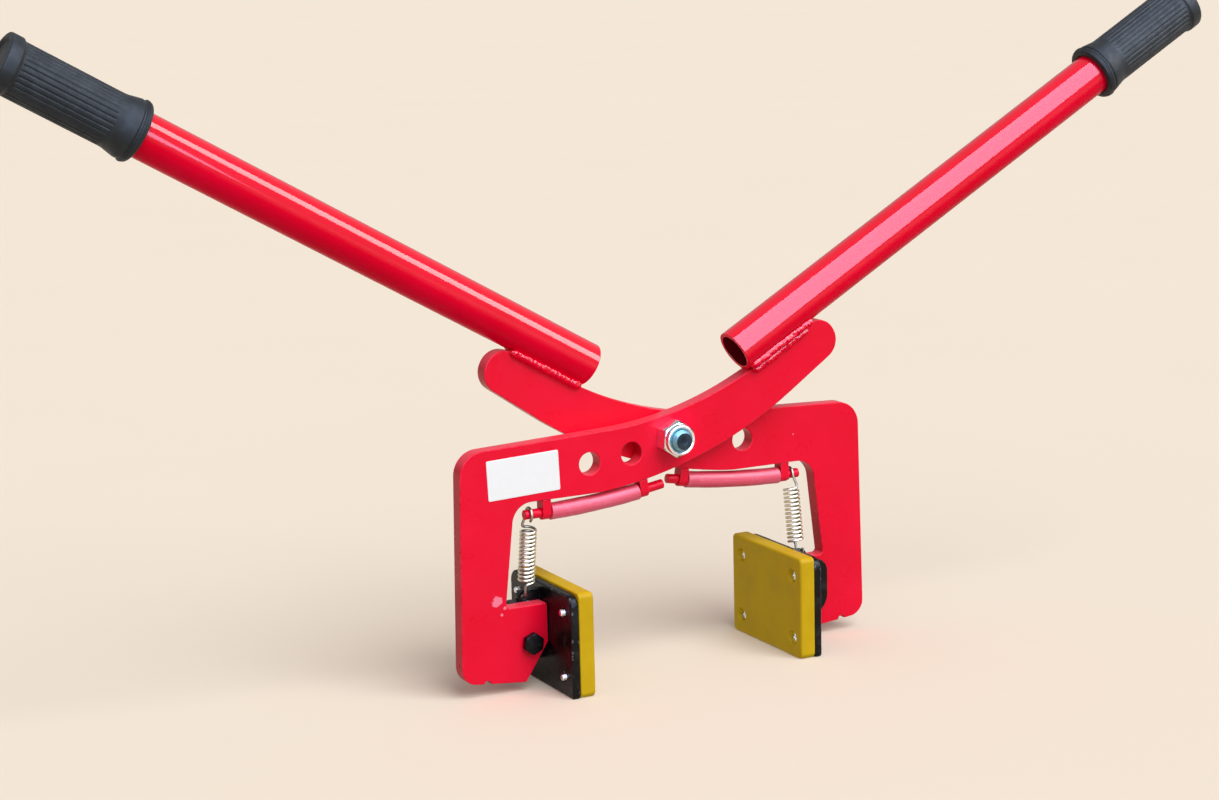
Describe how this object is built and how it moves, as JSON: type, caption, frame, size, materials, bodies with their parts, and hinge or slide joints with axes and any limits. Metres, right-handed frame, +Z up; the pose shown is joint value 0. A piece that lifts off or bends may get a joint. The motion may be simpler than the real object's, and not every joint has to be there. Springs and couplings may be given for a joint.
{
  "type": "kerb lifting clamp",
  "caption": "Scissor clamp for lifting kerb stones: crossed red plate arms on one bolt, tubular handles with rubber grips, sprung swivelling jaws with yellow pads, and hose-covered bumper rods.",
  "frame": {"origin": "on the floor under the pivot bolt, midway between the jaws, which stand on it", "axes": "+Z up, +X to the right jaw as seen from the front arm and its nut, -Y to the front, along the pivot bolt"},
  "size_m": [0.9514, 0.1, 0.4804],
  "materials": {
    "red_enamel": "gloss",
    "black_enamel": "satin",
    "bright_zinc": "bright zinc",
    "spring_zinc": "zinc",
    "grip_rubber": "matte",
    "hose_pvc": "gloss",
    "pad_polyurethane": "satin",
    "insert_nylon": "satin",
    "label_vinyl": "satin"
  },
  "bodies": {
    "front_arm": {"front_arm_plate": "red_enamel", "front_handle_tube": "red_enamel", "front_handle_weld": "red_enamel", "front_grip": "grip_rubber", "front_bumper_rod": "red_enamel", "front_rod_eyes": "red_enamel", "front_bumper_hose": "hose_pvc", "left_jaw_bolt": "black_enamel", "left_jaw_nut": "black_enamel", "left_jaw_spring": "spring_zinc", "pivot_bolt": "bright_zinc", "pivot_nut": "bright_zinc", "pivot_nut_insert": "insert_nylon", "pivot_washer": "bright_zinc", "blank_label": "label_vinyl"},
    "rear_arm": {"rear_arm_plate": "red_enamel", "rear_handle_tube": "red_enamel", "rear_handle_weld": "red_enamel", "rear_grip": "grip_rubber", "rear_bumper_rod": "red_enamel", "rear_rod_eyes": "red_enamel", "rear_bumper_hose": "hose_pvc", "right_jaw_bolt": "black_enamel", "right_jaw_nut": "black_enamel", "right_jaw_spring": "spring_zinc"},
    "left_jaw": {"left_backing_plate": "black_enamel", "left_jaw_lug": "black_enamel", "left_spring_eye": "black_enamel", "left_pad": "pad_polyurethane", "left_pad_screws": "bright_zinc"},
    "right_jaw": {"right_backing_plate": "black_enamel", "right_jaw_lug": "black_enamel", "right_spring_eye": "black_enamel", "right_pad": "pad_polyurethane", "right_pad_screws": "bright_zinc"}
  },
  "joints": [
    {"name": "scissor", "type": "hinge", "parent": "front_arm", "child": "rear_arm", "pos_m": [0, 0, 0.171], "axis": [0, 1, 0], "range_deg": [-20, 48]},
    {"name": "left_jaw_swing", "type": "hinge", "parent": "front_arm", "child": "left_jaw", "pos_m": [-0.1164, 0, 0.035], "axis": [0, 1, 0], "range_deg": [0, 30], "stiffness_Nm_per_rad": 1.2, "springref_deg": -14.32, "deforming": ["left_jaw_spring"]},
    {"name": "right_jaw_swing", "type": "hinge", "parent": "rear_arm", "child": "right_jaw", "pos_m": [0.1164, 0, 0.035], "axis": [0, -1, 0], "range_deg": [0, 30], "stiffness_Nm_per_rad": 1.2, "springref_deg": -14.32, "deforming": ["right_jaw_spring"]}
  ]
}
